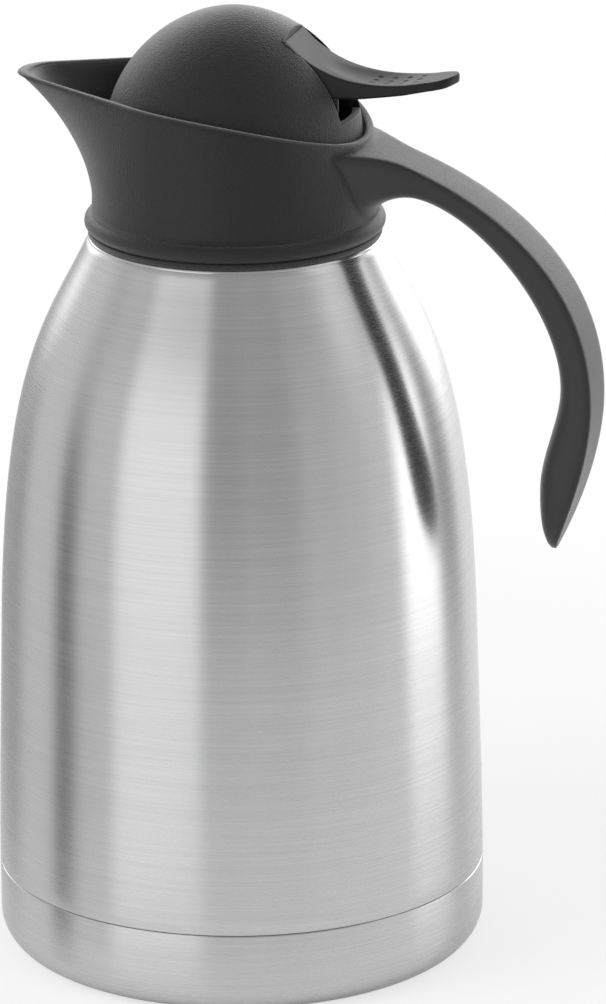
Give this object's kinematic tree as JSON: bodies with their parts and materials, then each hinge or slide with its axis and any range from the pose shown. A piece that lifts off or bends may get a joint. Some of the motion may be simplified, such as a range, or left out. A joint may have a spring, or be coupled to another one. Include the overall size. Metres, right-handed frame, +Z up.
{
  "type": "thermal carafe",
  "caption": "Insulated steel carafe with a pouring spout, an open handle and a domed lift-out stopper whose thumb lever opens a pour valve.",
  "frame": {"origin": "centre of the foot ring, on the table", "axes": "+Z up along the body's axis, +X towards the handle, -X towards the spout, +Y completes the right-handed frame"},
  "size_m": [0.1845, 0.1478, 0.2901],
  "materials": {
    "brushed_body": "brushed round the body, satin",
    "plain_steel": "plain drawn steel",
    "bright_steel": "polished small parts",
    "black_moulding": "fine matte grain",
    "grained_dome": "coarser spark-eroded grain",
    "satin_lever": "smooth satin",
    "seal_rubber": "matte silicone"
  },
  "bodies": {
    "flask": {"outer_shell": "brushed_body", "outer_bottom": "plain_steel", "base_cap": "brushed_body", "inner_liner": "plain_steel", "getter": "plain_steel", "vacuum_seal": "plain_steel", "neck_ring": "black_moulding", "collar": "black_moulding", "mouth_seal": "seal_rubber"},
    "gasket": {"stopper_gasket": "seal_rubber"},
    "stopper": {"stopper_body": "black_moulding", "stopper_plate": "black_moulding", "plate_screws": "bright_steel", "stem_seal": "seal_rubber", "dome": "grained_dome", "lever_pin": "bright_steel", "valve_spring": "bright_steel"},
    "lever": {"lever": "satin_lever"},
    "valve": {"valve_stem": "bright_steel", "valve_disc": "black_moulding", "valve_washer": "seal_rubber", "stem_clip": "bright_steel", "cross_pin": "bright_steel"}
  },
  "joints": [
    {"name": "lid_lift", "type": "slide", "parent": "flask", "child": "gasket", "axis": [0, 0, 1], "range_m": [0, 0.07]},
    {"name": "lid_turn", "type": "hinge", "parent": "gasket", "child": "stopper", "pos_m": [0, 0, 0.25], "axis": [0, 0, 1], "range_deg": [0, 30]},
    {"name": "lever_press", "type": "hinge", "parent": "stopper", "child": "lever", "pos_m": [0.015, 0, 0.2718], "axis": [0, 1, 0], "range_deg": [0, 16]},
    {"name": "valve_lift", "type": "slide", "parent": "stopper", "child": "valve", "axis": [0, 0, 1], "range_m": [0, 0.0042], "stiffness_N_per_m": 2500, "springref_m": -0.002, "deforming": ["valve_spring"]}
  ],
  "couplings": [
    {"joint": "lever_press", "follows": "valve_lift", "rad_per_m": 66.233}
  ]
}
